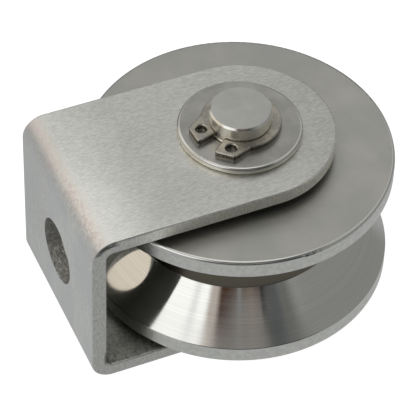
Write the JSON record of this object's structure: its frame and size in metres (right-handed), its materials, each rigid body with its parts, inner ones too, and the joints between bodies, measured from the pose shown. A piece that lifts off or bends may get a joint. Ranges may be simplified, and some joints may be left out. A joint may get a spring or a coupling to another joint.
{
  "type": "v groove wheel",
  "caption": "V groove wheel turning on sealed ball bearings and an axle pin in a bent steel plate bracket with a bolt hole.",
  "frame": {"origin": "centre of the bolt hole on the outer face of the bracket's web", "axes": "+X from the web to the wheel, +Z along the axle towards its retaining ring, +Y across the bracket"},
  "size_m": [0.0562, 0.05, 0.0401],
  "materials": {
    "bracket_plate": "satin, fine lines along the arms",
    "turned_wheel": "turned, satin faces and bright groove",
    "pin": "satin",
    "washer": "satin with a bright rounded edge",
    "spring_steel": "stamped, slightly warm",
    "spacer": "turned",
    "bearing_steel": "ground",
    "ball_steel": "polished",
    "cage": "moulded",
    "seal": "moulded"
  },
  "bodies": {
    "bracket": {"bracket": "bracket_plate", "axle_pin": "pin", "axle_washer": "washer", "axle_retaining_ring": "spring_steel", "upper_spacer_ring": "spacer", "middle_spacer_ring": "spacer", "lower_spacer_ring": "spacer", "upper_inner_race": "bearing_steel", "lower_inner_race": "bearing_steel"},
    "wheel": {"wheel": "turned_wheel", "upper_outer_race": "bearing_steel", "lower_outer_race": "bearing_steel", "upper_outside_seal": "seal", "upper_inside_seal": "seal", "lower_outside_seal": "seal", "lower_inside_seal": "seal", "upper_bore_retaining_ring": "spring_steel", "lower_bore_retaining_ring": "spring_steel"},
    "upper_ball_set": {"upper_balls": "ball_steel", "upper_ball_cage": "cage"},
    "lower_ball_set": {"lower_balls": "ball_steel", "lower_ball_cage": "cage"}
  },
  "joints": [
    {"name": "wheel_spin", "type": "hinge", "parent": "bracket", "child": "wheel", "pos_m": [0.0312, 0, 0], "axis": [0, 0, 1], "continuous": true},
    {"name": "upper_ball_orbit", "type": "hinge", "parent": "bracket", "child": "upper_ball_set", "pos_m": [0.0312, 0, 0], "axis": [0, 0, 1], "continuous": true},
    {"name": "lower_ball_orbit", "type": "hinge", "parent": "bracket", "child": "lower_ball_set", "pos_m": [0.0312, 0, 0], "axis": [0, 0, 1], "continuous": true}
  ],
  "couplings": [
    {"joint": "upper_ball_orbit", "follows": "wheel_spin", "ratio": 0.63228},
    {"joint": "lower_ball_orbit", "follows": "wheel_spin", "ratio": 0.63228}
  ]
}
